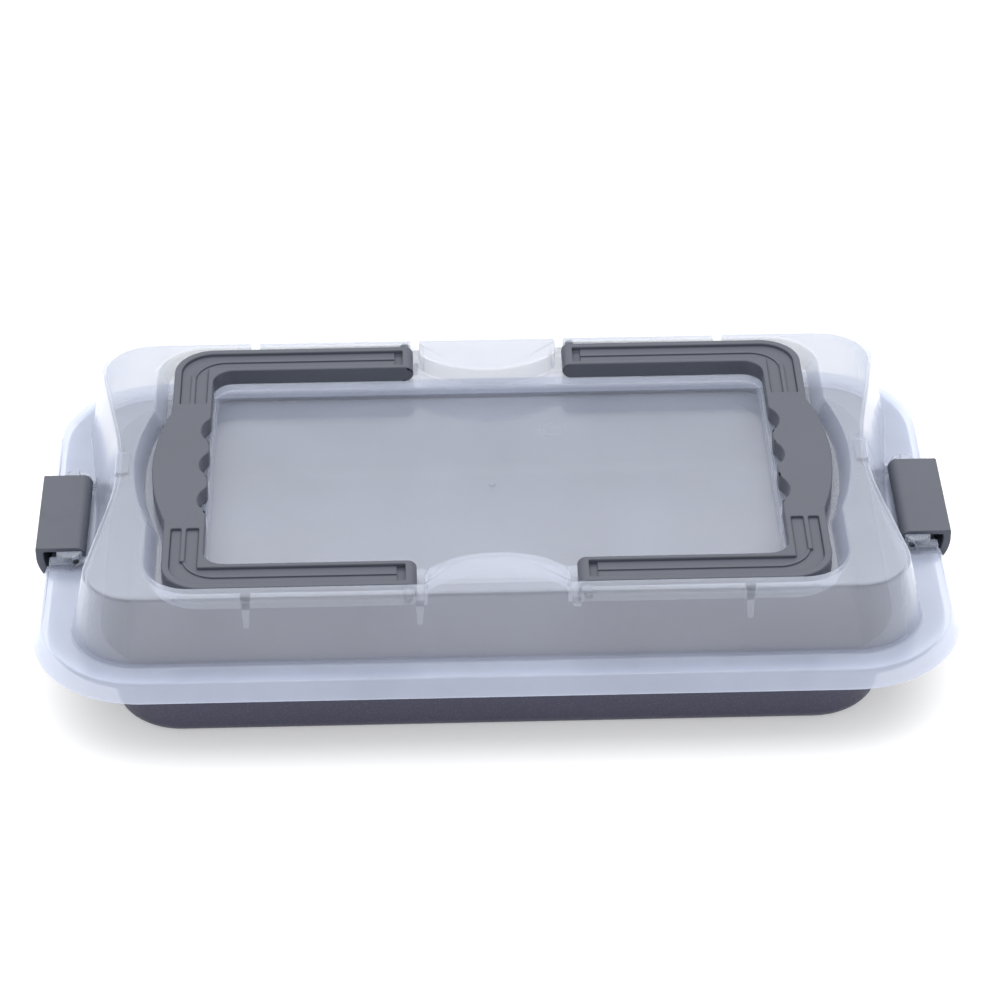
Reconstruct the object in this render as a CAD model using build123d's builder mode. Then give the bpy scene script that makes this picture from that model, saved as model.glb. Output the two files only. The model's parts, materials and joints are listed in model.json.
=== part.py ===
from build123d import *
from math import acos, atan2, cos, hypot, radians, sin, sqrt, tan
import os

os.makedirs("parts", exist_ok=True)

# Baking pan, in millimetres. The origin is under the middle of the base.
pan_height = 42.1
pan_sheet = 1.0
rim_end = 21.0
rim_side = 7.5
mouth_corner = 38.0
pan_draft = 10.0
floor_radius = 7.0
curl_radius = 2.4

# Lid flange and skirt
flange_length = 416.0
flange_depth = 247.0
flange_corner = 48.0
flange_edge = 1.2
lid_wall = 1.6
skirt_drop = 8.8
skirt_flare = 4.2

# Lid dome: the ends are drawn in to a waist that leaves room for the clips
dome_rise = 35.0
dome_edge = 2.2
shelf_end = 13.8
shelf_side = 10.8
base_corner = 32.0
base_bay = 7.2
lean_end = 7.6
lean_side = 4.9
top_corner = 24.0
top_bay = 11.6
bay_radius = 190.0

# Handle recess in the dome, with the centre panel sunk deeper
recess_drop = 9.0
border_end = 27.1
border_side = 7.4
recess_corner = 22.0
recess_bulge = 7.8
recess_draft_ends = 4.5
bulge_half_width = 46.0
bulge_blend = 8.0
panel_drop = 6.5
ledge_end = 28.0
ledge_side = 24.9
panel_corner = 9.0

# D-shaped lands that fill the gap between the arm ends
land_half_width = 33.0
land_straight = 10.5
land_reach = 24.0
land_corner = 8.0

# Neck pads, gussets and the clip ears of the lid
pad_length = 18.0
pad_width = 6.5
pad_rise = 1.2
gusset_top = 4.6
gusset_foot = 2.3
gusset_drop = 16.4
short_gusset_drop = 8.0
gusset_outer_x = 113.0
gusset_land_step = 2.2
ear_width = 4.8
ear_rise = 5.0
moon_rise = 8.0
moon_radius = 6.0
moon_shift = 3.0

# Handles
handle_thick = 8.2
arm_width = 18.8
handle_corner = 19.0
handle_inner_corner = 10.0
grip_bulge = 7.4
grip_blend = 12.0
scallop_count = 3
scallop_pitch = 29.0
scallop_radius = 14.0
scallop_depth = 4.2
scallop_blend = 3.0
lip_outer = 3.5
lip_inner = 2.6
groove_depth = 2.6
groove_end = 5.0
groove_grip_gap = 6.0
rib_width = 2.4
rib_length = 26.0
handle_pin_radius = 2.1
handle_pin_length = 6.3

# Locking clips
clip_length = 60.6
clip_plate = 2.3
clip_wall = 3.6
clip_setback = 13.5
barrel_radius = 4.5
clip_pin_radius = 1.6
clip_pin_length = 4.4
hook_angle = 60.0
clip_edge = 1.0
dish_radius = 60.0
dish_depth = 0.8

# Clearances
seat_gap = 0.3
rim_gap = 1.0
arm_gap = 0.9
arm_land_gap = 3.2
grip_end_gap = 3.5
clip_end_gap = 0.5
pin_gap = 0.05
barrel_gap = 0.3
hook_gap = 0.25

# Levels and places worked out from the sizes above
base_length = flange_length - 2 * shelf_end
base_depth = flange_depth - 2 * shelf_side
top_length = base_length - 2 * lean_end
top_depth = base_depth - 2 * lean_side
recess_length = top_length - 2 * border_end
recess_depth = top_depth - 2 * border_side
panel_length = recess_length - 2 * ledge_end
panel_depth = recess_depth - 2 * ledge_side
flange_z = pan_height + seat_gap + lid_wall
skirt_z = flange_z - skirt_drop
dome_z = flange_z + dome_rise
recess_z = dome_z - recess_drop
panel_z = recess_z - panel_drop
recess_side = recess_depth / 2
curl_x = flange_length / 2 - lid_wall - rim_gap - curl_radius
curl_y = flange_depth / 2 - lid_wall - rim_gap - curl_radius
curl_corner = flange_corner - lid_wall - rim_gap - curl_radius
curl_z = pan_height - curl_radius
mouth_length = 2 * (curl_x - rim_end)
mouth_depth = 2 * (curl_y - rim_side)
handle_z = recess_z + seat_gap
handle_pivot_z = handle_z + handle_thick / 2
handle_pivot_x = land_half_width + arm_land_gap + handle_thick / 2
handle_reach = recess_length / 2 - recess_draft_ends - grip_end_gap
arm_side = recess_side - arm_gap
arm_inside = arm_side - arm_width
side_inside = handle_reach - arm_width
clip_pivot_x = flange_length / 2 - clip_setback
clip_pivot_z = flange_z + barrel_gap + barrel_radius
clip_top_z = clip_pivot_z + barrel_radius
hook_radius = hypot(curl_x - clip_pivot_x, curl_z - clip_pivot_z) + curl_radius + hook_gap
notch_half = clip_length / 2 + clip_end_gap
flange_notch_x = clip_pivot_x + sqrt((hook_radius - hook_gap - rim_gap) ** 2
                                     - (clip_pivot_z - flange_z + lid_wall) ** 2)
gusset_inner_x = land_half_width + gusset_land_step
spare = 5.0


def dome_outline(level, length, depth, corner, bay, radius):
    """Rounded rectangle whose two ends are drawn in by a wide concave arc."""
    corner_x = length / 2 - corner
    corner_y = depth / 2 - corner
    bay_x = length / 2 - bay + radius
    lean = acos((radius + corner) / hypot(bay_x - corner_x, corner_y))
    turn = lean - atan2(corner_y, bay_x - corner_x)
    middle = (radians(90) + turn) / 2
    corner_end = (corner_x + corner * cos(turn), corner_y + corner * sin(turn))
    bay_start = (bay_x - radius * cos(turn), -radius * sin(turn))
    bay_middle = (bay_x - radius * cos(turn / 2), -radius * sin(turn / 2))
    with BuildSketch(Plane.XY.offset(level)) as outline:
        with BuildLine():
            Line((0, depth / 2), (corner_x, depth / 2))
            ThreePointArc(
                (corner_x, depth / 2),
                (corner_x + corner * cos(middle), corner_y + corner * sin(middle)),
                corner_end,
            )
            Line(corner_end, bay_start)
            ThreePointArc(bay_start, bay_middle, (bay_x - radius, 0))
            mirror(about=Plane.XZ)
            mirror(about=Plane.YZ)
        make_face()
    return outline.sketch


def bulged_outline(level, length, depth, corner, bulge):
    """Rounded rectangle with a shallow outward arc in the middle of each end."""
    end = length / 2
    side = depth / 2
    half = bulge_half_width
    with BuildSketch(Plane.XY.offset(level)) as outline:
        with BuildLine():
            Polyline((-end, half), (-end, side), (end, side), (end, half))
            ThreePointArc((end, half), (end + bulge, 0), (end, -half))
            Polyline((end, -half), (end, -side), (-end, -side), (-end, -half))
            ThreePointArc((-end, -half), (-end - bulge, 0), (-end, half))
        make_face()
        fillet(outline.vertices().filter_by(lambda v: abs(v.Y) > side - 0.01), radius=corner)
        shoulders = outline.vertices().filter_by(lambda v: abs(abs(v.Y) - half) < 0.01)
        fillet(shoulders, radius=bulge_blend)
    return outline.sketch


def land_outline(level, inset):
    """Both D-shaped lands, made smaller all round by the inset."""
    half = land_half_width - inset
    shoulder = recess_side - land_straight + inset
    back = recess_side + spare
    with BuildSketch(Plane.XY.offset(level)) as outline:
        with BuildLine():
            Polyline((-half, -shoulder), (-half, -back), (half, -back), (half, -shoulder))
            ThreePointArc(
                (half, -shoulder),
                (0, -recess_side + land_reach - inset),
                (-half, -shoulder),
            )
        make_face()
        corners = outline.vertices().filter_by(lambda v: abs(v.Y + shoulder) < 0.01)
        fillet(corners, radius=land_corner - inset)
        mirror(about=Plane.XZ)
    return outline.sketch


def rounded_outline(level, length, depth, corner):
    """Rounded rectangle at a level."""
    with BuildSketch(Plane.XY.offset(level)) as outline:
        RectangleRounded(length, depth, corner)
    return outline.sketch


def tub(inset, bottom):
    """Drafted tub of the pan, smaller all round by the inset, from the given level up."""
    lean = tan(radians(pan_draft))
    sections = []
    for level in (bottom, pan_height):
        shrink = inset + (pan_height - level) * lean
        sections.append(rounded_outline(
            level, mouth_length - 2 * shrink, mouth_depth - 2 * shrink, mouth_corner - shrink))
    with BuildPart() as body:
        loft(sections, ruled=True)
        fillet(body.faces().sort_by(Axis.Z)[0].edges(), radius=floor_radius - inset)
    return body.part


# Rolled edge of the pan: three quarters of a curl, swept round one quarter
with BuildPart() as rolled_edge:
    with BuildLine() as edge_path:
        FilletPolyline((curl_x, 0), (curl_x, curl_y), (0, curl_y), radius=curl_corner)
    with BuildSketch(Plane(origin=(curl_x, 0, curl_z), x_dir=(1, 0, 0), z_dir=(0, 1, 0))):
        Circle(curl_radius)
        Circle(curl_radius - pan_sheet, mode=Mode.SUBTRACT)
        with Locations((-curl_radius / 2, -curl_radius / 2)):
            Rectangle(curl_radius, curl_radius, mode=Mode.SUBTRACT)
    sweep(path=edge_path.wire())
    mirror(about=Plane.XZ)
    mirror(about=Plane.YZ)

# Baking pan: drafted tub, flat rim and rolled edge in one sheet
with BuildPart() as baking_pan:
    add(tub(0, 0))
    with BuildSketch(Plane.XY.offset(pan_height - pan_sheet)):
        RectangleRounded(2 * curl_x, 2 * curl_y, curl_corner)
    extrude(amount=pan_sheet)
    add(tub(pan_sheet, pan_sheet), mode=Mode.SUBTRACT)
    add(rolled_edge.part)

# Recess for the handles, open at the top, with both lands left standing
with BuildPart() as recess:
    loft(
        [
            bulged_outline(recess_z, recess_length - 2 * recess_draft_ends, recess_depth,
                           recess_corner, recess_bulge),
            bulged_outline(dome_z, recess_length, recess_depth, recess_corner, recess_bulge),
        ],
        ruled=True,
    )
    extrude(land_outline(recess_z, 0), amount=recess_drop, mode=Mode.SUBTRACT)
    extrude(rounded_outline(panel_z, panel_length, panel_depth, panel_corner), amount=panel_drop)

# The same recess with the wall of the lid round it
with BuildPart() as recess_walls:
    wall_length = recess_length + 2 * lid_wall
    wall_depth = recess_depth + 2 * lid_wall
    wall_corner = recess_corner + lid_wall
    loft(
        [
            bulged_outline(recess_z - lid_wall, wall_length - 2 * recess_draft_ends, wall_depth,
                           wall_corner, recess_bulge),
            bulged_outline(dome_z, wall_length, wall_depth, wall_corner, recess_bulge),
        ],
        ruled=True,
    )
    extrude(land_outline(recess_z - lid_wall, lid_wall), amount=recess_drop, mode=Mode.SUBTRACT)
    extrude(
        rounded_outline(panel_z - lid_wall, panel_length + 2 * lid_wall,
                        panel_depth + 2 * lid_wall, panel_corner + lid_wall),
        amount=panel_drop,
    )

# Outer form of the dome
with BuildPart() as dome:
    loft(
        [
            dome_outline(flange_z, base_length, base_depth, base_corner, base_bay, bay_radius),
            dome_outline(dome_z, top_length, top_depth, top_corner, top_bay, bay_radius),
        ],
        ruled=True,
    )
    fillet(dome.faces().sort_by(Axis.Z)[-1].edges(), radius=dome_edge)

# Hollow under the dome, round the walls of the recess
with BuildPart() as hollow:
    loft(
        [
            dome_outline(flange_z - lid_wall, base_length - 2 * lid_wall, base_depth - 2 * lid_wall,
                         base_corner - lid_wall, base_bay, bay_radius + lid_wall),
            dome_outline(dome_z - lid_wall, top_length - 2 * lid_wall, top_depth - 2 * lid_wall,
                         top_corner - lid_wall, top_bay, bay_radius + lid_wall),
        ],
        ruled=True,
    )
    add(recess_walls.part, mode=Mode.SUBTRACT)

# Flange with its flared skirt, hollow below
with BuildPart() as flange:
    loft(
        [
            rounded_outline(skirt_z, flange_length + 2 * skirt_flare,
                            flange_depth + 2 * skirt_flare, flange_corner + skirt_flare),
            rounded_outline(flange_z, flange_length, flange_depth, flange_corner),
        ],
        ruled=True,
    )
    fillet(flange.faces().sort_by(Axis.Z)[-1].edges(), radius=flange_edge)
    inner_flare = skirt_flare - lid_wall
    loft(
        [
            rounded_outline(skirt_z, flange_length + 2 * inner_flare,
                            flange_depth + 2 * inner_flare, flange_corner + inner_flare),
            rounded_outline(flange_z - lid_wall, flange_length - 2 * lid_wall,
                            flange_depth - 2 * lid_wall, flange_corner - lid_wall),
        ],
        ruled=True,
        mode=Mode.SUBTRACT,
    )

# Gussets between the wall of the recess and the wall of the dome
with BuildPart() as gussets:
    for place, drop in (
        (-gusset_outer_x, gusset_drop),
        (-gusset_inner_x, gusset_drop),
        (gusset_inner_x, short_gusset_drop),
        (gusset_outer_x, gusset_drop),
    ):
        foot = gusset_top + (gusset_foot - gusset_top) * drop / gusset_drop
        with BuildSketch(Plane.XZ.offset(recess_side)):
            with Locations((place, dome_z - lid_wall)):
                Polygon(
                    (-gusset_top / 2, lid_wall / 2),
                    (-foot / 2, -drop),
                    (foot / 2, -drop),
                    (gusset_top / 2, lid_wall / 2),
                    align=None,
                )
        extrude(amount=top_depth / 2 - recess_side - lid_wall / 2)
    mirror(about=Plane.XZ)

# One ear of the right clip: a low block with a half-moon lug that holds the pin
with BuildPart() as ears:
    with BuildSketch(Plane.XY.offset(flange_z - lid_wall / 2)):
        with Locations((base_length / 2 - base_bay + lid_wall, notch_half)):
            Rectangle(
                flange_notch_x - base_length / 2 + base_bay - lid_wall,
                ear_width,
                align=(Align.MIN, Align.MIN),
            )
    extrude(amount=ear_rise + lid_wall / 2)
    with BuildSketch(Plane.XY.offset(flange_z - lid_wall / 2)):
        with Locations((clip_pivot_x + moon_shift, notch_half)):
            Circle(moon_radius)
            Rectangle(
                2 * moon_radius,
                2 * moon_radius,
                align=(Align.CENTER, Align.MAX),
                mode=Mode.SUBTRACT,
            )
    extrude(amount=moon_rise + lid_wall / 2)
    mirror(about=Plane.XZ)
    mirror(about=Plane.YZ)

# Lid: flange with flared skirt, hollow dome, recess, gussets, pads and ears
with BuildPart() as lid:
    add(flange.part)
    add(dome.part)
    add(hollow.part, mode=Mode.SUBTRACT)
    add(recess.part, mode=Mode.SUBTRACT)
    add(gussets.part)
    with BuildSketch(Plane.XY.offset(dome_z - lid_wall / 2)):
        with Locations(
            (-top_length / 2 + top_bay + dome_edge, 0),
            (top_length / 2 - top_bay - dome_edge, 0),
        ):
            RectangleRounded(pad_width, pad_length, pad_width / 4)
    extrude(amount=lid_wall / 2 + pad_rise)
    with BuildSketch(Plane.XY.offset(skirt_z - spare)):
        with Locations((-flange_notch_x, 0)):
            Rectangle(flange_length / 4, 2 * notch_half, align=(Align.MAX, Align.CENTER))
        with Locations((flange_notch_x, 0)):
            Rectangle(flange_length / 4, 2 * notch_half, align=(Align.MIN, Align.CENTER))
    extrude(amount=skirt_drop + 2 * spare, mode=Mode.SUBTRACT)
    add(ears.part)
    with BuildSketch(Plane.XZ):
        with Locations((-handle_pivot_x, handle_pivot_z), (handle_pivot_x, handle_pivot_z)):
            Circle(handle_pin_radius + pin_gap)
    extrude(amount=arm_side + handle_pin_length + seat_gap, both=True, mode=Mode.SUBTRACT)
    with BuildSketch(Plane.XZ):
        with Locations((-clip_pivot_x, clip_pivot_z), (clip_pivot_x, clip_pivot_z)):
            Circle(clip_pin_radius + pin_gap)
    extrude(amount=notch_half + ear_width + moon_radius, both=True, mode=Mode.SUBTRACT)

# Right handle: a C with channelled arms and a solid grip with finger scallops
with BuildPart() as handle_right:
    arm_end = handle_pivot_x - handle_thick / 2
    end_round = handle_thick / 2 - pin_gap
    grip_half = bulge_half_width
    with BuildSketch(Plane.XY.offset(handle_z)) as outline:
        with BuildLine():
            Polyline(
                (handle_reach, grip_half),
                (handle_reach, arm_side),
                (arm_end, arm_side),
                (arm_end, arm_inside),
                (side_inside, arm_inside),
                (side_inside, -arm_inside),
                (arm_end, -arm_inside),
                (arm_end, -arm_side),
                (handle_reach, -arm_side),
                (handle_reach, -grip_half),
            )
            ThreePointArc(
                (handle_reach, -grip_half),
                (handle_reach + grip_bulge, 0),
                (handle_reach, grip_half),
            )
        make_face()
        outer = outline.vertices().filter_by(lambda v: abs(v.X - handle_reach) < 0.01)
        fillet(outer.filter_by(lambda v: abs(v.Y) > arm_inside), radius=handle_corner)
        inner = outline.vertices().filter_by(lambda v: abs(v.X - side_inside) < 0.01)
        fillet(inner, radius=handle_inner_corner)
        shoulders = outline.vertices().filter_by(lambda v: abs(abs(v.Y) - grip_half) < 0.01)
        fillet(shoulders, radius=grip_blend)
        with Locations((side_inside - scallop_radius + scallop_depth, 0)):
            with GridLocations(1, scallop_pitch, 1, scallop_count):
                Circle(scallop_radius, mode=Mode.SUBTRACT)
        scallop_ends = outline.vertices().filter_by(lambda v: abs(v.X - side_inside) < 0.01)
        scallop_span = scallop_pitch * scallop_count / 2
        fillet(scallop_ends.filter_by(lambda v: abs(v.Y) < scallop_span), radius=scallop_blend)
    extrude(amount=handle_thick)
    fillet(handle_right.edges().filter_by(Axis.Y).group_by(Axis.X)[0], radius=end_round)
    with BuildSketch(Plane.XY.offset(handle_z + handle_thick)) as groove:
        groove_start = handle_pivot_x + groove_end - end_round
        groove_foot = grip_half + groove_grip_gap
        with BuildLine():
            Polyline(
                (groove_start, arm_side - lip_outer),
                (handle_reach - lip_outer, arm_side - lip_outer),
                (handle_reach - lip_outer, groove_foot),
                (side_inside + lip_inner, groove_foot),
                (side_inside + lip_inner, arm_inside + lip_inner),
                (groove_start, arm_inside + lip_inner),
                close=True,
            )
        make_face()
        outer_corner = groove.vertices().sort_by(lambda v: v.X + v.Y)[-1]
        inner_corner = groove.vertices().sort_by(
            lambda v: hypot(v.X - side_inside - lip_inner, v.Y - arm_inside - lip_inner))[0]
        fillet(outer_corner, radius=handle_corner - lip_outer)
        fillet(inner_corner, radius=handle_inner_corner + lip_inner)
        with Locations(((handle_reach + side_inside) / 2, groove_foot)):
            Rectangle(rib_width, rib_length, align=(Align.CENTER, Align.MIN), mode=Mode.SUBTRACT)
    extrude(amount=-groove_depth, mode=Mode.SUBTRACT)
    with BuildSketch(Plane.XZ.offset(-arm_side)):
        with Locations((handle_pivot_x, handle_pivot_z)):
            Circle(handle_pin_radius)
    extrude(amount=-handle_pin_length)
    split(bisect_by=Plane.XZ, keep=Keep.BOTTOM)
    mirror(about=Plane.XZ)

# Right clip: barrel, top plate, outer wall and a hook that runs round the pin
clip_plane = Plane(origin=(clip_pivot_x, 0, clip_pivot_z), x_dir=(1, 0, 0), z_dir=(0, -1, 0))
with BuildPart() as clip_right:
    plate_under = barrel_radius - clip_plate
    under_x = sqrt(hook_radius ** 2 - plate_under ** 2)
    neck_x = sqrt(barrel_radius ** 2 - plate_under ** 2)
    shell_radius = hook_radius + clip_wall
    tip = radians(-hook_angle)
    with BuildSketch(clip_plane):
        with BuildLine():
            Polyline((0, barrel_radius), (shell_radius, barrel_radius), (shell_radius, 0))
            ThreePointArc(
                (shell_radius, 0),
                (shell_radius * cos(tip / 2), shell_radius * sin(tip / 2)),
                (shell_radius * cos(tip), shell_radius * sin(tip)),
            )
            Line(
                (shell_radius * cos(tip), shell_radius * sin(tip)),
                (hook_radius * cos(tip), hook_radius * sin(tip)),
            )
            ThreePointArc(
                (hook_radius * cos(tip), hook_radius * sin(tip)),
                (hook_radius * cos(tip / 2), hook_radius * sin(tip / 2)),
                (under_x, plate_under),
            )
            Line((under_x, plate_under), (neck_x, plate_under))
            ThreePointArc((neck_x, plate_under), (-barrel_radius, 0), (0, barrel_radius))
        make_face()
    extrude(amount=clip_length / 2, both=True)
    fillet(clip_right.edges().filter_by(Axis.Y).sort_by(lambda e: e.center().X + e.center().Z)[-1],
           radius=clip_edge)
    with Locations((clip_pivot_x + shell_radius / 2, 0, clip_top_z + dish_radius - dish_depth)):
        Sphere(dish_radius, mode=Mode.SUBTRACT)
    with BuildSketch(Plane.XZ.offset(-clip_length / 2)):
        with Locations((clip_pivot_x, clip_pivot_z)):
            Circle(clip_pin_radius)
    extrude(amount=-clip_pin_length)
    mirror(about=Plane.XZ)

with BuildPart() as handle_left:
    mirror(handle_right.part, about=Plane.YZ)

with BuildPart() as clip_left:
    mirror(clip_right.part, about=Plane.YZ)

nodes = {
    "baking_pan": baking_pan,
    "lid": lid,
    "handle_left": handle_left,
    "handle_right": handle_right,
    "clip_left": clip_left,
    "clip_right": clip_right,
}
for name, node in nodes.items():
    node.part.label = name
    export_step(node.part, "parts/" + name + ".step")
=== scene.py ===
"""Finishes and studio for a non-stick cake pan with its clear transport lid.

Laid out as an add-on and run as a script: main() registers the classes and calls one operator
for each group of pieces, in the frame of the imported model, in metres.
"""
import json
from math import radians, tan

import bmesh
import bpy
from bpy.props import FloatProperty, FloatVectorProperty, IntProperty, PointerProperty
from mathutils import Matrix, Vector


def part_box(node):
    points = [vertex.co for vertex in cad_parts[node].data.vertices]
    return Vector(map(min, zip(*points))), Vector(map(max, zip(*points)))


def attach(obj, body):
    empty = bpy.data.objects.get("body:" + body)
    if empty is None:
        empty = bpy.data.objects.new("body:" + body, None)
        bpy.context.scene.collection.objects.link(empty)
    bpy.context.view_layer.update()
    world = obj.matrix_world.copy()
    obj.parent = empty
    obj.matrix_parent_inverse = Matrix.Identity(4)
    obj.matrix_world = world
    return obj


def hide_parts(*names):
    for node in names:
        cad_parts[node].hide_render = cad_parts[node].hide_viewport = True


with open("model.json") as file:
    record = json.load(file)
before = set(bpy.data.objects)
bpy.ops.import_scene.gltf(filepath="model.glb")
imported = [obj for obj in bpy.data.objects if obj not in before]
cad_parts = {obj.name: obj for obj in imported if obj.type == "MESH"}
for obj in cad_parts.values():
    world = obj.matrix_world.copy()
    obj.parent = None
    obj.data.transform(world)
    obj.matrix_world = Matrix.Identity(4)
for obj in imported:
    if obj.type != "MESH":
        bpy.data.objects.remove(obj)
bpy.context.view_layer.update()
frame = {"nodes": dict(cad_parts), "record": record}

bl_info = {
    "name": "Cake pan with transport lid",
    "version": (1, 0, 0),
    "blender": (4, 5, 0),
    "location": "3D View > Sidebar > Cake pan",
    "description": "Finishes, moulded ridges and studio of a cake pan with its lid",
    "category": "Object",
}

MM = 0.001

# Camera fitted to the rim of the lid, in millimetres and degrees
CAMERA_PLACE = (-33.6, -1539.2, 1112.6)
CAMERA_AIM = (0.0, 15.7, 44.0)
CAMERA_ROLL = -0.45
CAMERA_LIFT = 34.5
CAMERA_SHIFT = 0.0082

# Edges with a larger bend than this, in degrees, are rounded
SHARP_BEND = 32

# Levels of the lid and sizes of the handles' arms, in millimetres
FLANGE_ABOVE_SKIRT = 8.8
PANEL_BELOW_TOP = 16.7
ARM_WIDTH = 18.8
ARM_OUTER_LIP = 3.5
ARM_INNER_LIP = 2.6
ARM_CORNER = 19.0
GRIP_BULGE = 7.4
PIN_REACH = 6.3
GROOVE_SETBACK = 9.1
GROOVE_DEPTH = 2.6
GROOVE_FOOT_Y = 52.0


def linear(hex_colour):
    """Linear red, green and blue of an sRGB hex colour."""
    shares = [int(hex_colour[i:i + 2], 16) / 255 for i in (0, 2, 4)]
    return [s / 12.92 if s <= 0.04045 else ((s + 0.055) / 1.055) ** 2.4 for s in shares]


def colour(name, description, hex_colour):
    """A colour property with its default given as sRGB hex."""
    return FloatVectorProperty(name=name, description=description, subtype="COLOR", size=3,
                               min=0.0, max=1.0, default=linear(hex_colour))


def length(name, description, millimetres):
    """A length property with its default given in millimetres."""
    return FloatProperty(name=name, description=description, subtype="DISTANCE", unit="LENGTH",
                         min=0.0, precision=5, default=millimetres * MM)


class PanFinish(bpy.types.PropertyGroup):
    """Coating of the steel pan"""
    coating: colour("Coating", "Non-stick coating of the pan", "3B3B4E")
    fleck: colour("Fleck", "Mica flecks in the coating", "77758A")
    fleck_size: length("Fleck size", "Size of one fleck, drawn coarse enough to show", 0.9)
    edge_radius: length("Edge radius", "Rounding of the cut edges of the sheet", 0.3)


class LidFinish(bpy.types.PropertyGroup):
    """Natural polypropylene of the lid"""
    scatter: colour("Scatter", "Light that the cloudy plastic throws back", "E0E8FC")
    tint: colour("Tint", "Light that passes through one surface", "F5F5F4")
    haze: FloatProperty(name="Haze", description="Share of light that one surface scatters, seen square on",
                        min=0.0, max=1.0, default=0.135)
    edge_haze: FloatProperty(name="Edge haze", description="The same share at a grazing angle",
                             min=0.0, max=1.0, default=0.57)
    # Painted light: extra haze that makes the flange and skirt whiter, in place of light from the front
    painted_front_light: FloatProperty(name="Rim haze", description="Haze added on the flange and skirt, as painted front light",
                            min=0.0, max=1.0, default=0.27)
    edge_radius: length("Edge radius", "Rounding of the small moulded edges", 0.6)
    gate_radius: length("Gate radius", "Half the width of the moulding gate's mark", 1.7)
    gate_height: length("Gate height", "Height of the gate's mark", 0.5)


class GripFinish(bpy.types.PropertyGroup):
    """Grey plastic of the handles and clips"""
    plastic: colour("Plastic", "Moulded grey plastic", "484C57")
    grain: length("Grain", "Spacing of the spark-eroded grain", 0.55)
    edge_radius: length("Edge radius", "Rounding of the handles' edges", 0.7)
    clip_edge_radius: length("Clip edge radius", "Rounding of the clips' edges", 0.42)
    floor_lift: length("Floor lift", "How far the floor of the groove is built up", 1.2)
    ridge_width: length("Ridge width", "Width of the ridge that runs along each arm", 1.5)
    ridge_height: length("Ridge height", "Height of the ridge above the built-up floor", 0.7)
    ridge_corner: length("Ridge corner", "Radius of the ridge's centre line at the corner", 15.0)
    ridge_edge: length("Ridge edge", "Rounding of the long edges of floor and ridge", 0.3)
    ridge_steps: IntProperty(name="Ridge steps", description="Steps round each corner of a ridge",
                             min=2, max=64, default=16)


class StudioSettings(bpy.types.PropertyGroup):
    """Floor, lights and camera"""
    floor_colour: colour("Floor", "Matt paint of the floor", "E6E6E6")
    floor_glow: FloatProperty(name="Floor glow", description="Light that the floor adds, as a lit table does",
                              min=0.0, default=0.32)
    floor_size: length("Floor size", "Side of the square floor", 9000)
    sky: FloatProperty(name="Sky", description="Strength of the even light all round", min=0.0, default=0.95)
    ceiling: FloatProperty(name="Ceiling", description="Power of the overhead softbox", unit="POWER",
                           min=0.0, default=110.0)
    ceiling_height: length("Ceiling height", "Height of the overhead softbox", 2600)
    ceiling_width: length("Ceiling width", "Side of the softbox", 5000)
    focal_length: FloatProperty(name="Focal length", min=1.0, default=142.7,
                                description="Focal length in millimetres on a 36 mm frame")


class CakePanSettings(bpy.types.PropertyGroup):
    """All sizes and colours of the cake pan and its studio"""
    pan: PointerProperty(type=PanFinish)
    lid: PointerProperty(type=LidFinish)
    grips: PointerProperty(type=GripFinish)
    studio: PointerProperty(type=StudioSettings)


def add_node(tree, kind, inputs=None, **settings):
    """Add a node with its settings; each input gets a value or a link from a socket."""
    made = tree.nodes.new(kind)
    for name, value in settings.items():
        setattr(made, name, value)
    for key, value in (inputs or {}).items():
        if isinstance(value, bpy.types.NodeSocket):
            tree.links.new(value, made.inputs[key])
        else:
            made.inputs[key].default_value = value
    return made


def new_material(name):
    """An empty node material with its output, and the object coordinates in metres."""
    made = bpy.data.materials.new(name)
    made.use_nodes = True
    tree = made.node_tree
    tree.nodes.clear()
    output = add_node(tree, "ShaderNodeOutputMaterial")
    place = add_node(tree, "ShaderNodeTexCoord").outputs["Object"]
    return made, tree, output, place


def noise(tree, place, size, detail=2.0):
    """Noise whose blotches are about the given size in metres."""
    return add_node(tree, "ShaderNodeTexNoise", {"Vector": place, "Scale": 1 / size, "Detail": detail})


def ramp(tree, source, low, high, out_low, out_high):
    """Turn one range of values into another, clamped."""
    return add_node(tree, "ShaderNodeMapRange", {
        "Value": source, "From Min": low, "From Max": high, "To Min": out_low, "To Max": out_high,
    }).outputs["Result"]


def coated_steel(finish):
    """Steel sheet with a sprayed non-stick coating: a dark satin skin with fine mica flecks and a
    slight orange peel that softens its highlights."""
    made, tree, output, place = new_material("sprayed_nonstick_coating")
    peel_size, peel_depth = 2.2 * MM, 0.08 * MM
    orange_peel = noise(tree, place, peel_size)
    speckle = add_node(tree, "ShaderNodeTexVoronoi", {"Vector": place, "Scale": 1 / finish.fleck_size})
    fleck_share = ramp(tree, speckle.outputs["Distance"], 0.12, 0.3, 0.4, 0.0)
    base = add_node(tree, "ShaderNodeMix", {
        "Factor": fleck_share, "A": [*finish.coating, 1.0], "B": [*finish.fleck, 1.0],
    }, data_type="RGBA")
    relief = add_node(tree, "ShaderNodeBump", {
        "Height": orange_peel.outputs["Fac"], "Strength": 0.14, "Distance": peel_depth,
    })
    shader = add_node(tree, "ShaderNodeBsdfPrincipled", {
        "Base Color": base.outputs["Result"],
        "Roughness": ramp(tree, orange_peel.outputs["Fac"], 0.3, 0.7, 0.34, 0.46),
        "Normal": relief.outputs["Normal"], "IOR": 1.45,
    })
    tree.links.new(shader.outputs["BSDF"], output.inputs["Surface"])
    return made


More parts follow.
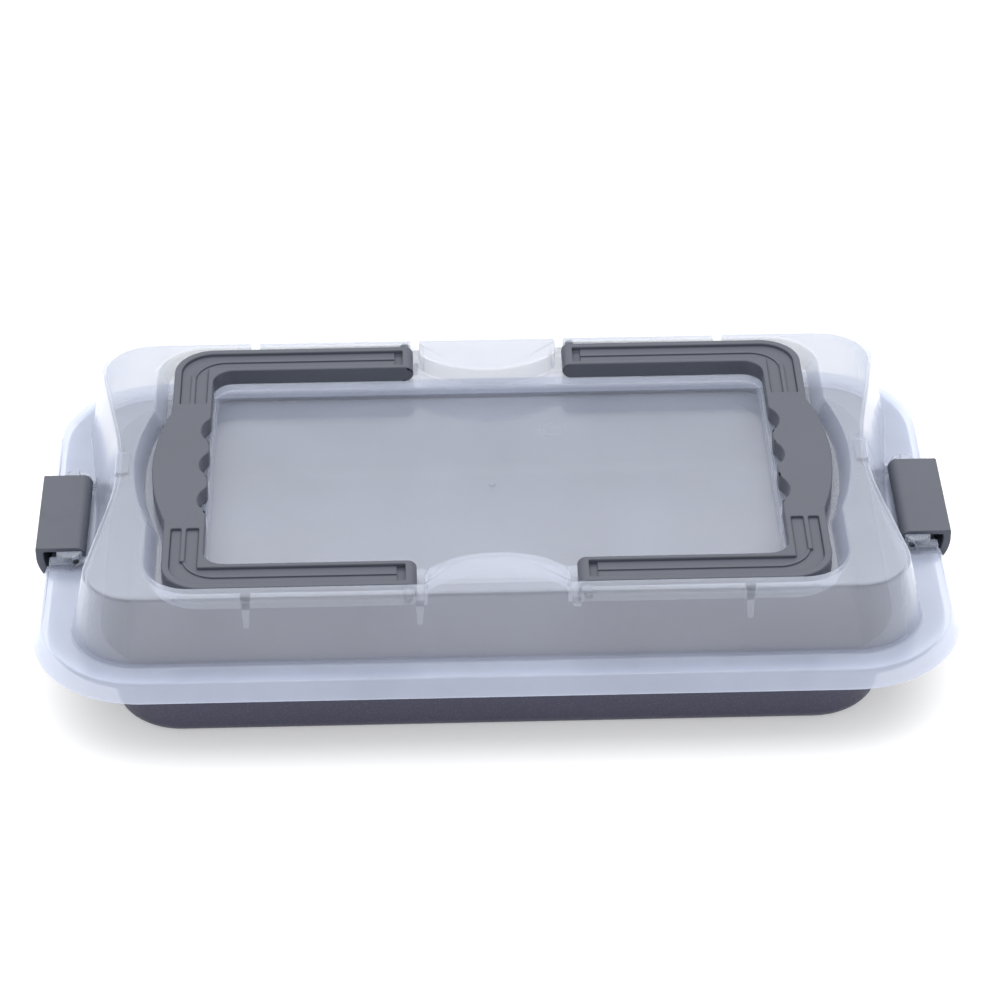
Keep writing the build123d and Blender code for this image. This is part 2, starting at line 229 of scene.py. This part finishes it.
def natural_polypropylene(finish, painted_light_top):
    """Unfilled polypropylene, injection moulded: clear enough to see through, cloudy blue over a dark
    ground, whiter where the wall is seen edge on, with a glossy and slightly wavy skin. Up to the
    given height, on the flange and skirt, extra haze is painted light that makes them whiter in place of
    light from the front."""
    made, tree, output, place = new_material("natural_polypropylene")
    flow_size, wave_size, wave_depth = 38 * MM, 14 * MM, 0.12 * MM
    flow = noise(tree, place, flow_size, 3.0)
    slant = add_node(tree, "ShaderNodeLayerWeight", {"Blend": 0.5}).outputs["Facing"]
    path = add_node(tree, "ShaderNodeMath", {0: slant, 1: 1.5}, operation="POWER").outputs[0]
    wall = ramp(tree, path, 0.0, 1.0, finish.haze, finish.edge_haze)
    height = add_node(tree, "ShaderNodeSeparateXYZ", {"Vector": place}).outputs["Z"]
    # Painted light: up to the flange's top, the flange and skirt get extra haze and show whiter, in place of
    # light from the front
    painted_light_share = ramp(tree, height, painted_light_top, painted_light_top + 2 * MM, finish.painted_front_light, 0.0)
    haze = add_node(tree, "ShaderNodeMath", {0: wall, 1: painted_light_share}, operation="ADD").outputs[0]
    cloud = ramp(tree, flow.outputs["Fac"], 0.3, 0.7, 0.93, 1.07)
    share = add_node(tree, "ShaderNodeMath", {0: haze, 1: cloud}, operation="MULTIPLY", use_clamp=True)
    relief = add_node(tree, "ShaderNodeBump", {
        "Height": noise(tree, place, wave_size).outputs["Fac"], "Strength": 0.12, "Distance": wave_depth,
    })
    clear = add_node(tree, "ShaderNodeBsdfTransparent", {"Color": [*finish.tint, 1.0]})
    front = add_node(tree, "ShaderNodeBsdfDiffuse", {"Color": [*finish.scatter, 1.0]})
    through = add_node(tree, "ShaderNodeBsdfTranslucent", {"Color": [*finish.scatter, 1.0]})
    cloudy = add_node(tree, "ShaderNodeMixShader", {"Fac": 0.4, 1: front.outputs[0], 2: through.outputs[0]})
    body = add_node(tree, "ShaderNodeMixShader",
                    {"Fac": share.outputs[0], 1: clear.outputs[0], 2: cloudy.outputs[0]})
    skin = add_node(tree, "ShaderNodeBsdfGlossy",
                    {"Color": [1.0, 1.0, 1.0, 1.0], "Roughness": 0.14, "Normal": relief.outputs["Normal"]})
    grazing = add_node(tree, "ShaderNodeMath", {0: slant, 1: 5.0}, operation="POWER").outputs[0]
    gloss = ramp(tree, grazing, 0.0, 1.0, 0.04, 0.9)
    surface = add_node(tree, "ShaderNodeMixShader",
                       {"Fac": gloss, 1: body.outputs[0], 2: skin.outputs[0]})
    tree.links.new(surface.outputs[0], output.inputs["Surface"])
    return made


def grained_plastic(finish):
    """Filled grey polypropylene from a spark-eroded mould: an even matt grain with a soft sheen."""
    made, tree, output, place = new_material("spark_eroded_grey_plastic")
    grain = noise(tree, place, finish.grain, 3.0)
    shade_size, grain_depth = 45 * MM, 0.06 * MM
    shade = noise(tree, place, shade_size)
    dark = [0.93 * c for c in finish.plastic]
    light = [min(1.0, 1.07 * c) for c in finish.plastic]
    base = add_node(tree, "ShaderNodeMix", {
        "Factor": shade.outputs["Fac"], "A": [*dark, 1.0], "B": [*light, 1.0],
    }, data_type="RGBA")
    relief = add_node(tree, "ShaderNodeBump", {
        "Height": grain.outputs["Fac"], "Strength": 0.4, "Distance": grain_depth,
    })
    shader = add_node(tree, "ShaderNodeBsdfPrincipled", {
        "Base Color": base.outputs["Result"],
        "Roughness": ramp(tree, grain.outputs["Fac"], 0.3, 0.7, 0.42, 0.54),
        "Normal": relief.outputs["Normal"], "IOR": 1.49,
    })
    tree.links.new(shader.outputs["BSDF"], output.inputs["Surface"])
    return made


def floor_paint(settings):
    """Matt white paint on a smooth floor, with the faintest roller texture."""
    made, tree, output, place = new_material("matt_white_floor_paint")
    roller_size, roller_depth = 6 * MM, 0.1 * MM
    relief = add_node(tree, "ShaderNodeBump", {
        "Height": noise(tree, place, roller_size).outputs["Fac"], "Strength": 0.05, "Distance": roller_depth,
    })
    shader = add_node(tree, "ShaderNodeBsdfPrincipled", {
        "Base Color": [*settings.floor_colour, 1.0], "Roughness": 0.9, "Specular IOR Level": 0.1,
        "Emission Color": [1.0, 1.0, 1.0, 1.0], "Emission Strength": settings.floor_glow,
        "Normal": relief.outputs["Normal"],
    })
    tree.links.new(shader.outputs["BSDF"], output.inputs["Surface"])
    return made


def link(name, mesh):
    """A new object with that mesh in the scene."""
    made = bpy.data.objects.new(name, mesh)
    bpy.context.scene.collection.objects.link(made)
    return made


def settled(piece):
    """Turn the piece's modifiers into plain mesh."""
    bpy.context.view_layer.update()
    evaluated = piece.evaluated_get(bpy.context.evaluated_depsgraph_get())
    mesh = bpy.data.meshes.new_from_object(evaluated)
    piece.modifiers.clear()
    piece.data = mesh


def moulded(node, name, material, radius, steps=3):
    """A copy of a CAD node with its sharp edges rounded, held inside the node's own box."""
    piece = link(name, frame["nodes"][node].data.copy())
    mesh = piece.data
    work = bmesh.new()
    work.from_mesh(mesh)
    bmesh.ops.remove_doubles(work, verts=work.verts, dist=0.002 * MM)
    layers = work.edges.layers.float
    weight = layers.get("bevel_weight_edge") or layers.new("bevel_weight_edge")
    for edge in work.edges:
        if len(edge.link_faces) == 2 and edge.calc_face_angle(0.0) > radians(SHARP_BEND):
            edge[weight] = 1.0
    work.to_mesh(mesh)
    work.free()
    mesh.materials.clear()
    mesh.materials.append(material)
    mesh.shade_smooth()
    rounding = piece.modifiers.new("rounding", "BEVEL")
    rounding.width = radius
    rounding.segments = steps
    rounding.limit_method = "WEIGHT"
    rounding.use_clamp_overlap = False
    rounding.miter_outer = "MITER_ARC"
    facing = piece.modifiers.new("facing", "WEIGHTED_NORMAL")
    facing.keep_sharp = True
    settled(piece)
    low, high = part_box(node)
    for vert in piece.data.vertices:
        vert.co = [min(max(c, a), b) for c, a, b in zip(vert.co, low, high)]
    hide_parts(node)
    return piece


def body_of(node):
    """Name of the body that a CAD node belongs to."""
    bodies = frame["record"]["behaviour"]["bodies"]
    return next(body for body, members in bodies.items() if node in members)


def gate_mark(finish, level, material):
    """The low round stub that the moulding gate leaves in the middle of the centre panel."""
    mesh = bpy.data.meshes.new("lid_gate_mark")
    work = bmesh.new()
    bmesh.ops.create_cone(work, cap_ends=True, segments=32, radius1=finish.gate_radius,
                          radius2=0.6 * finish.gate_radius, depth=finish.gate_height,
                          matrix=Matrix.Translation((0, 0, level + finish.gate_height / 2)))
    work.to_mesh(mesh)
    work.free()
    mesh.shade_smooth()
    mesh.materials.append(material)
    return link("lid_gate_mark", mesh)


class CAKEPAN_OT_stage(bpy.types.Operator):
    """Set out the pale floor, the even sky, the overhead softbox and the camera"""
    bl_idname = "cakepan.stage"
    bl_label = "Studio"

    def execute(self, context):
        settings = context.scene.cake_pan.studio
        half = settings.floor_size / 2
        mesh = bpy.data.meshes.new("floor")
        mesh.from_pydata([(-half, -half, 0), (half, -half, 0), (half, half, 0), (-half, half, 0)],
                         [], [(0, 1, 2, 3)])
        mesh.materials.append(floor_paint(settings))
        link("floor", mesh)

        world = bpy.data.worlds.new("even_sky")
        world.use_nodes = True
        sky = world.node_tree.nodes["Background"]
        sky.inputs["Color"].default_value = (1.0, 1.0, 1.0, 1.0)
        sky.inputs["Strength"].default_value = settings.sky
        context.scene.world = world

        # The far edge of the softbox is mirrored across the middle of the lid's centre panel
        far_edge = settings.ceiling_height / tan(radians(CAMERA_LIFT))
        lamp = bpy.data.lights.new("overhead_softbox", "AREA")
        lamp.shape = "SQUARE"
        lamp.size = settings.ceiling_width
        lamp.energy = settings.ceiling
        box = bpy.data.objects.new("overhead_softbox", lamp)
        box.location = (0, far_edge - settings.ceiling_width / 2, settings.ceiling_height)
        context.scene.collection.objects.link(box)

        lens = bpy.data.cameras.new("camera")
        lens.sensor_width = 36.0
        lens.lens = settings.focal_length
        lens.shift_x = CAMERA_SHIFT
        lens.clip_end = 50.0
        camera = bpy.data.objects.new("camera", lens)
        eye = Vector(CAMERA_PLACE) * MM
        look = (Vector(CAMERA_AIM) * MM - eye).to_track_quat("-Z", "Y").to_matrix()
        turn = look @ Matrix.Rotation(radians(CAMERA_ROLL), 3, "Z")
        camera.matrix_world = Matrix.Translation(eye) @ turn.to_4x4()
        context.scene.collection.objects.link(camera)
        context.scene.camera = camera
        context.scene.view_settings.view_transform = "Standard"
        return {"FINISHED"}


class CAKEPAN_OT_pan(bpy.types.Operator):
    """Give the steel pan its sprayed coating"""
    bl_idname = "cakepan.pan"
    bl_label = "Baking pan"

    def execute(self, context):
        finish = context.scene.cake_pan.pan
        pan = moulded("baking_pan", "pan_shell", coated_steel(finish), finish.edge_radius, 2)
        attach(pan, body_of("baking_pan"))
        return {"FINISHED"}


class CAKEPAN_OT_lid(bpy.types.Operator):
    """Round the edges of the moulded lid, make it of cloudy plastic and add the gate's mark"""
    bl_idname = "cakepan.lid"
    bl_label = "Lid"

    def execute(self, context):
        finish = context.scene.cake_pan.lid
        low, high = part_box("lid")
        # Top of the painted front light: just above the flange's top
        painted_light_top = low.z + (FLANGE_ABOVE_SKIRT + 0.2) * MM
        plastic = natural_polypropylene(finish, painted_light_top)
        lid = moulded("lid", "lid_moulding", plastic, finish.edge_radius)
        gate = gate_mark(finish, high.z - PANEL_BELOW_TOP * MM, plastic)
        for piece in (lid, gate):
            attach(piece, body_of("lid"))
        return {"FINISHED"}


def groove_tree():
    """Node tree that sweeps a flat floor and a thin ridge on it along the edges it is given."""
    tree = bpy.data.node_groups.new("swept_groove", "GeometryNodeTree")
    face = tree.interface
    face.new_socket("Geometry", in_out="INPUT", socket_type="NodeSocketGeometry")
    for name in ("Floor Width", "Floor Height", "Floor Corner", "Ridge Width", "Ridge Height",
                 "Ridge Corner", "Edge Radius"):
        face.new_socket(name, in_out="INPUT", socket_type="NodeSocketFloat")
    face.new_socket("Steps", in_out="INPUT", socket_type="NodeSocketInt")
    face.new_socket("Material", in_out="INPUT", socket_type="NodeSocketMaterial")
    face.new_socket("Geometry", in_out="OUTPUT", socket_type="NodeSocketGeometry")
    given = add_node(tree, "NodeGroupInput").outputs
    path = add_node(tree, "GeometryNodeMeshToCurve", {"Mesh": given["Geometry"]}).outputs[0]
    ridge_lift = add_node(tree, "ShaderNodeMath", {0: given["Floor Height"], 1: given["Ridge Height"]},
                          operation="ADD").outputs[0]
    swept = add_node(tree, "GeometryNodeJoinGeometry")
    for name, height in (("Floor", given["Floor Height"]), ("Ridge", ridge_lift)):
        rounded = add_node(tree, "GeometryNodeFilletCurve", {
            "Curve": path, "Radius": given[name + " Corner"], "Count": given["Steps"],
        }, mode="POLY")
        upright = add_node(tree, "GeometryNodeSetCurveNormal", {"Curve": rounded.outputs[0]}, mode="Z_UP")
        twice = add_node(tree, "ShaderNodeMath", {0: height, 1: 2.0}, operation="MULTIPLY").outputs[0]
        section = add_node(tree, "GeometryNodeCurvePrimitiveQuadrilateral", {
            "Width": given[name + " Width"], "Height": twice,
        })
        soft = add_node(tree, "GeometryNodeFilletCurve", {
            "Curve": section.outputs[0], "Radius": given["Edge Radius"], "Count": 3,
        }, mode="POLY")
        band = add_node(tree, "GeometryNodeCurveToMesh", {
            "Curve": upright.outputs[0], "Profile Curve": soft.outputs[0], "Fill Caps": True,
        })
        tree.links.new(band.outputs[0], swept.inputs[0])
    real = add_node(tree, "GeometryNodeRealizeInstances", {"Geometry": swept.outputs[0]})
    dressed = add_node(tree, "GeometryNodeSetMaterial", {
        "Geometry": real.outputs[0], "Material": given["Material"],
    })
    add_node(tree, "NodeGroupOutput", {"Geometry": dressed.outputs[0]})
    return tree


def groove(side, finish, tree, material):
    """Lay the floor and ridge into the grooves of both arms of one handle, as one plain mesh."""
    node = "handle_left" if side < 0 else "handle_right"
    low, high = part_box(node)
    band_width = (ARM_WIDTH - ARM_OUTER_LIP - ARM_INNER_LIP) * MM
    # From the arm's outer edge to the middle of the groove
    inset = ARM_OUTER_LIP * MM + band_width / 2
    start_x = min(abs(low.x), abs(high.x)) + GROOVE_SETBACK * MM
    side_x = max(abs(low.x), abs(high.x)) - GRIP_BULGE * MM - inset
    arm_y = high.y - PIN_REACH * MM - inset
    foot_y = GROOVE_FOOT_Y * MM
    level = high.z - GROOVE_DEPTH * MM
    points = []
    edges = []
    for way in (-1, 1):
        edges += [(len(points), len(points) + 1), (len(points) + 1, len(points) + 2)]
        points += [(side * start_x, way * arm_y, level), (side * side_x, way * arm_y, level),
                   (side * side_x, way * foot_y, level)]
    mesh = bpy.data.meshes.new(node + "_groove")
    mesh.from_pydata(points, edges, [])
    piece = link(node + "_groove", mesh)
    sweep = piece.modifiers.new("groove", "NODES")
    sweep.node_group = tree
    values = {"Floor Width": band_width, "Floor Height": finish.floor_lift,
              "Floor Corner": ARM_CORNER * MM - inset,
              "Ridge Width": finish.ridge_width, "Ridge Height": finish.ridge_height,
              "Ridge Corner": finish.ridge_corner, "Edge Radius": finish.ridge_edge,
              "Steps": finish.ridge_steps, "Material": material}
    for item in tree.interface.items_tree:
        if item.in_out == "INPUT" and item.name in values:
            sweep[item.identifier] = values[item.name]
    settled(piece)
    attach(piece, body_of(node))


class CAKEPAN_OT_handles(bpy.types.Operator):
    """Round the edges of both handles and lay floors and ridges into their grooves"""
    bl_idname = "cakepan.handles"
    bl_label = "Handles"

    def execute(self, context):
        finish = context.scene.cake_pan.grips
        plastic = grained_plastic(finish)
        tree = groove_tree()
        for side, node in ((-1, "handle_left"), (1, "handle_right")):
            handle = moulded(node, node + "_moulding", plastic, finish.edge_radius)
            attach(handle, body_of(node))
            groove(side, finish, tree, plastic)
        return {"FINISHED"}


class CAKEPAN_OT_clips(bpy.types.Operator):
    """Round the edges of both locking clips"""
    bl_idname = "cakepan.clips"
    bl_label = "Locking clips"

    def execute(self, context):
        finish = context.scene.cake_pan.grips
        plastic = bpy.data.materials.get("spark_eroded_grey_plastic") or grained_plastic(finish)
        for node in ("clip_left", "clip_right"):
            clip = moulded(node, node + "_moulding", plastic, finish.clip_edge_radius)
            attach(clip, body_of(node))
        return {"FINISHED"}


class CAKEPAN_PT_sidebar(bpy.types.Panel):
    """Lists the operators that make the cake pan"""
    bl_idname = "CAKEPAN_PT_sidebar"
    bl_label = "Cake pan"
    bl_space_type = "VIEW_3D"
    bl_region_type = "UI"
    bl_category = "Cake pan"

    def draw(self, context):
        for operator in OPERATORS:
            self.layout.operator(operator.bl_idname)


OPERATORS = (CAKEPAN_OT_stage, CAKEPAN_OT_pan, CAKEPAN_OT_lid, CAKEPAN_OT_handles, CAKEPAN_OT_clips)
CLASSES = (PanFinish, LidFinish, GripFinish, StudioSettings, CakePanSettings, *OPERATORS,
           CAKEPAN_PT_sidebar)


def register():
    """Register the classes and put the settings on the scene."""
    for cls in CLASSES:
        bpy.utils.register_class(cls)
    bpy.types.Scene.cake_pan = PointerProperty(type=CakePanSettings)


def unregister():
    """Take the settings and the classes away again."""
    del bpy.types.Scene.cake_pan
    for cls in reversed(CLASSES):
        bpy.utils.unregister_class(cls)


def main():
    """Make every piece in order."""
    register()
    bpy.ops.cakepan.stage()
    bpy.ops.cakepan.pan()
    bpy.ops.cakepan.lid()
    bpy.ops.cakepan.handles()
    bpy.ops.cakepan.clips()


if __name__ == "__main__":
    main()
